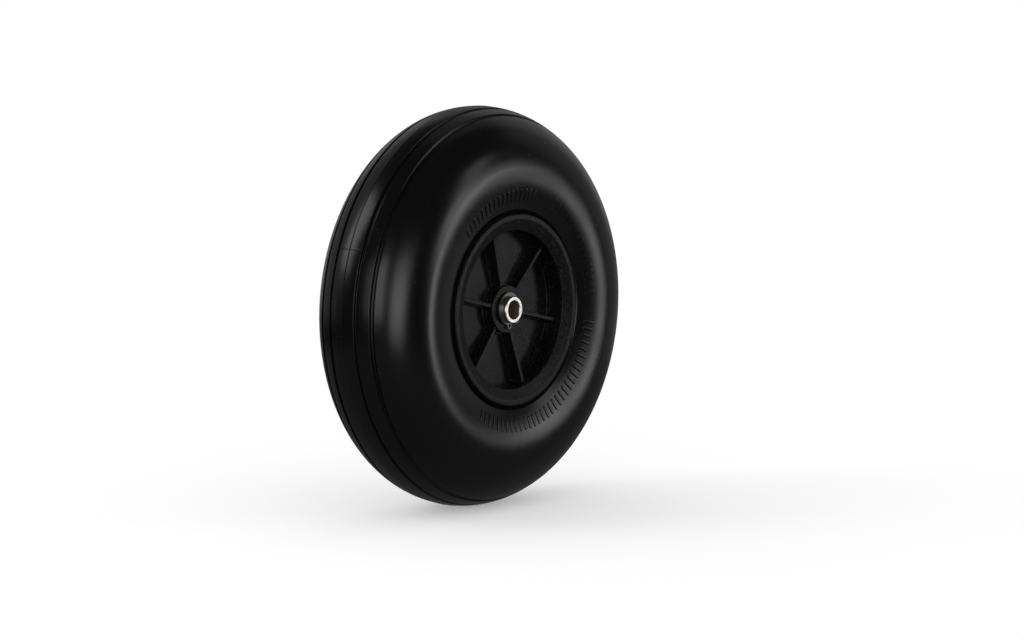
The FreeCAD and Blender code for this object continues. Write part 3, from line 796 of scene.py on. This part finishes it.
def make_sleeve(material):
    """The turned sleeve, with its chamfers and the two grooves for the circlips."""
    back, front = circlip_faces()
    chamfered_end = SLEEVE_END - SLEEVE_CHAMFER
    half = rounded_path([
        (SLEEVE_RADIUS, 0, 0),
        (SLEEVE_RADIUS, back - GROOVE_PLAY, GROOVE_ROUND),
        (CIRCLIP_SEAT, back - GROOVE_PLAY, 0),
        (CIRCLIP_SEAT, front + GROOVE_PLAY, 0),
        (SLEEVE_RADIUS, front + GROOVE_PLAY, GROOVE_ROUND),
        (SLEEVE_RADIUS, chamfered_end, CHAMFER_ROUND),
        (SLEEVE_RADIUS - SLEEVE_CHAMFER, SLEEVE_END, CHAMFER_ROUND),
        (SLEEVE_BORE + SLEEVE_CHAMFER, SLEEVE_END, CHAMFER_ROUND),
        (SLEEVE_BORE, chamfered_end, CHAMFER_ROUND),
        (SLEEVE_BORE, 0, 0),
    ], steps=SLEEVE_STEPS)
    other = half[1:-1][::-1] * np.array([1, -1])
    profile = np.concatenate([half, other])
    turns = np.linspace(0, FULL_TURN, SLEEVE_TURNS, endpoint=False)
    faces = grid_quads(len(profile), len(turns), wrap_rows=True, wrap_columns=True)
    sleeve = make_piece("axle_sleeve_turned", lathe(profile, turns).reshape(-1, 3), faces, material)
    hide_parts("axle_sleeve")
    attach(sleeve, "axle")


def circlip_outline():
    """Upper half of a circlip's plan, with the gap towards +x, and the centre of its lug. It runs
    along the inside to the gap, over the lug's flat and round end, through the hollow beside it and
    back along the eccentric outside."""
    inside = CIRCLIP_SEAT + SEAT_CLEARANCE
    ring_radius = inside + (CIRCLIP_WIDTH + CIRCLIP_WIDTH_AT_LUG) / 2
    ring_centre = np.array([-(CIRCLIP_WIDTH - CIRCLIP_WIDTH_AT_LUG) / 2, 0])
    lug = LUG_CIRCLE * np.array([math.cos(LUG_HALF_ANGLE), math.sin(LUG_HALF_ANGLE)])
    half_gap = lug[1] - LUG_RADIUS + LUG_FLAT
    # the hollow's centre is as far from both circles as its own radius
    from_ring = ring_radius + LUG_FILLET
    from_lug = LUG_RADIUS + LUG_FILLET
    across = lug - ring_centre
    apart = np.linalg.norm(across)
    along = (from_ring * from_ring - from_lug * from_lug + apart * apart) / (2 * apart)
    aside = math.sqrt(from_ring * from_ring - along * along)
    hollow = ring_centre + across / apart * along + np.array([-across[1], across[0]]) / apart * aside

    def bearing(point, centre):
        return math.atan2(point[1] - centre[1], point[0] - centre[0])

    def arc(centre, radius, start, end, count):
        angle = np.linspace(start, end, count)
        return centre + radius * np.stack([np.cos(angle), np.sin(angle)], axis=1)

    flat = math.asin((half_gap - lug[1]) / LUG_RADIUS)
    upper = np.concatenate([
        arc(np.zeros(2), inside, math.pi, math.asin(half_gap / inside), RING_POINTS),
        arc(lug, LUG_RADIUS, flat, bearing(hollow, lug), LUG_POINTS),
        arc(hollow, LUG_FILLET, bearing(lug, hollow), bearing(ring_centre, hollow), HOLLOW_POINTS)[1:],
        arc(ring_centre, ring_radius, bearing(hollow, ring_centre), math.pi, RING_POINTS)[1:],
    ])
    return upper, lug


def make_circlips(material):
    """Both circlips, each a flat outline with two holes, raised to its thickness with slightly
    rounded edges."""
    upper, lug = circlip_outline()
    # closed outline: the upper half from inside to outside, and its mirror image back
    lower = upper[::-1][1:-1] * np.array([1, -1])
    angle = np.linspace(0, FULL_TURN, HOLE_POINTS, endpoint=False)
    hole = LUG_HOLE * np.stack([np.cos(angle), np.sin(angle)], axis=1)
    rings = [np.concatenate([upper, lower]), lug + hole, lug * np.array([1, -1]) + hole]
    back, front = circlip_faces()
    for node, rear in (("circlip_front", False), ("circlip_rear", True)):
        curve = bpy.data.curves.new(node + "_plan", "CURVE")
        curve.dimensions = "2D"
        curve.fill_mode = "BOTH"
        curve.extrude = (front - back) / 2 - CIRCLIP_EDGE
        curve.bevel_depth = CIRCLIP_EDGE
        curve.bevel_resolution = 1
        curve.offset = -CIRCLIP_EDGE
        for ring in rings:
            spline = curve.splines.new("POLY")
            spline.points.add(len(ring) - 1)
            flat = np.concatenate([ring, np.zeros((len(ring), 1)), np.ones((len(ring), 1))], axis=1)
            spline.points.foreach_set("co", flat.ravel())
            spline.use_cyclic_u = True
        holder = bpy.data.objects.new(node + "_plan", curve)
        solid = bpy.data.meshes.new_from_object(holder)
        coordinates = np.empty(len(solid.vertices) * 3)
        solid.vertices.foreach_get("co", coordinates)
        coordinates = coordinates.reshape(-1, 3)
        reach = (front + back) / 2 + coordinates[:, 2:3]
        points = turned(np.concatenate([coordinates[:, :2], reach], axis=1), CIRCLIP_ANGLE)
        if rear:
            points = to_rear(points)
        faces = [list(polygon.vertices) for polygon in solid.polygons]
        clip = make_piece(node + "_plate", points, faces, material)
        bpy.data.objects.remove(holder)
        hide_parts(node)
        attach(clip, "axle")


# ---------------------------------------------------------------- studio

CAMERA_AZIMUTH = math.radians(-50.8)
CAMERA_ELEVATION = math.radians(6.5)
CAMERA_DISTANCE = 1.7
SENSOR_WIDTH = 36.0             # mm, as is the lens
LENS = 134.67
AIM_RIGHT = 17.28 * MM          # how far right of and below the wheel's centre the camera aims
AIM_DOWN = 6.2 * MM
LAMP_DISTANCE = 1.6

# The room is white to the camera and lights the wheel evenly. A black wheel that mirrored a white
# room would look grey, so its reflections show only these shares of the room and of the floor.
ROOM_IN_REFLECTIONS = 0.02
ROOM_LIGHT = 0.6
FLOOR_IN_REFLECTIONS = 0.10
FLOOR_WHITE = 0.32              # plain white share of the floor's middle, under its lit colour
FLOOR_GREY = (0.88, 0.88, 0.88)
FLOOR_RADIUS = 0.36
FLOOR_CORNERS = 96
FADE_START = FLOOR_RADIUS / 3
FADE_END = FLOOR_RADIUS * 0.98


def direction(azimuth, elevation):
    """Unit vector from the wheel towards an azimuth and elevation; azimuth 0 is the front."""
    return Vector((math.sin(azimuth) * math.cos(elevation), -math.cos(azimuth) * math.cos(elevation),
                   math.sin(elevation)))


def make_camera():
    """Camera on the front left, slightly above the axle."""
    data = bpy.data.cameras.new("camera")
    data.sensor_width = SENSOR_WIDTH
    data.lens = LENS
    camera = bpy.data.objects.new("camera", data)
    bpy.context.scene.collection.objects.link(camera)
    back = direction(CAMERA_AZIMUTH, CAMERA_ELEVATION)
    right = Vector((0, 0, 1)).cross(back).normalized()
    up = back.cross(right)
    aim = right * AIM_RIGHT - up * AIM_DOWN
    camera.location = back * CAMERA_DISTANCE
    camera.rotation_euler = (camera.location - aim).to_track_quat("Z", "Y").to_euler()
    bpy.context.scene.camera = camera


def softbox(name, azimuth, elevation, across, tall, radiance):
    """Rectangular lamp that faces the wheel: where it hangs and how much of the view it fills, in
    degrees seen from the wheel, and its radiance."""
    data = bpy.data.lights.new(name, "AREA")
    data.shape = "RECTANGLE"
    data.size = 2 * LAMP_DISTANCE * math.tan(math.radians(across / 2))
    data.size_y = 2 * LAMP_DISTANCE * math.tan(math.radians(tall / 2))
    data.energy = radiance * math.pi * data.size * data.size_y
    lamp = bpy.data.objects.new(name, data)
    bpy.context.scene.collection.objects.link(lamp)
    lamp.location = direction(math.radians(azimuth), math.radians(elevation)) * LAMP_DISTANCE
    lamp.rotation_euler = lamp.location.to_track_quat("Z", "Y").to_euler()
    lamp.visible_camera = False


def make_floor(height):
    """Round pale floor at the wheel's foot. It keeps the wheel's shadow, and it is small, so that
    the lamps also light the wheel from below its level. The camera sees its lit colour over a white
    share, which grows to the room's plain white at the edge; in reflections it is grey."""
    mesh = bpy.data.meshes.new("floor")
    turns = np.linspace(0, FULL_TURN, FLOOR_CORNERS, endpoint=False)
    edge = np.stack([np.sin(turns), np.cos(turns)], axis=1) * FLOOR_RADIUS
    corners = np.insert(edge, 2, height, axis=1)
    mesh.from_pydata(corners.tolist(), [], [list(range(FLOOR_CORNERS))[::-1]])
    floor = bpy.data.objects.new("floor", mesh)
    bpy.context.scene.collection.objects.link(floor)
    paper = Surface("pale_floor", Roughness=0.9, Specular_IOR_Level=0.0, Emission_Strength=1.0)
    far = paper.span(paper.length(paper.place), FADE_START, FADE_END, 0.0, 1.0)
    shown = paper.seen(mirrored_share=0.0)
    white = FLOOR_WHITE + (1 - FLOOR_WHITE) * far
    glow = shown * white + paper.mirrored() * FLOOR_IN_REFLECTIONS
    paper.feed("Base Color", paper.mix_colours(shown * (1 - far), BLACK, FLOOR_GREY))
    paper.feed("Emission Color", paper.mix_colours(glow, BLACK, WHITE))
    floor.data.materials.append(paper.material)


def make_room():
    """Room that is white to the camera and lights the wheel evenly."""
    world = bpy.data.worlds.new("room")
    bpy.context.scene.world = world
    room = Tree(world)
    room.tree.nodes.clear()
    diffuse = room.node("ShaderNodeLightPath", {}, {}, output="Is Diffuse Ray")
    level = room.seen(ROOM_IN_REFLECTIONS) + diffuse * ROOM_LIGHT
    colour = room.mix_colours(level, BLACK, WHITE)
    light = room.node("ShaderNodeBackground", {}, {"Color": colour})
    room.node("ShaderNodeOutputWorld", {}, {"Surface": light})


def make_lights():
    """Softboxes round the wheel, some of which reach below the floor. Those that share a side
    overlap, so that their light falls off softly: three on the left, two farther round, three on
    the right, two behind. Three dim panels fill in. The numbers of softbox_behind are given
    directly. The numbers of the other twelve are the rounded result of a separate program that
    fitted them to the highlights wanted on the wheel."""
    softbox("softbox_left", -26, 0, 28, 21, 0.95)
    softbox("softbox_left_tall", -28, 3, 22, 38, 0.90)
    softbox("softbox_left_high", -20, 7, 27, 22, 0.64)
    softbox("softbox_far_left", -61, 11, 18, 29, 1.18)
    softbox("softbox_far_left_wide", -67, 12, 38, 28, 0.62)
    softbox("softbox_right", 45, -3, 10, 15, 2.68)
    softbox("softbox_right_wide", 40, 6, 20, 12, 0.90)
    softbox("softbox_right_high", 35, 16, 10, 27, 1.31)
    softbox("panel_right", 112, -3, 100, 100, 0.16)
    softbox("panel_right_high", 105, 40, 32, 80, 0.12)
    softbox("softbox_behind", 129, -7, 14, 8, 2.0)
    softbox("softbox_rear", -134, 34, 22, 35, 1.87)
    softbox("panel_rear", -176, 22, 83, 56, 0.19)


# ---------------------------------------------------------------- the scene

scene = bpy.context.scene
scene.view_settings.view_transform = "Standard"
make_camera()
make_room()
make_floor(float(cad_box[0][2]))
make_lights()
skin = tyre_skin()
make_tyre(skin)
make_bars(skin)
make_rims(rim_plastic())
make_sleeve(turned_metal())
make_circlips(spring_steel())
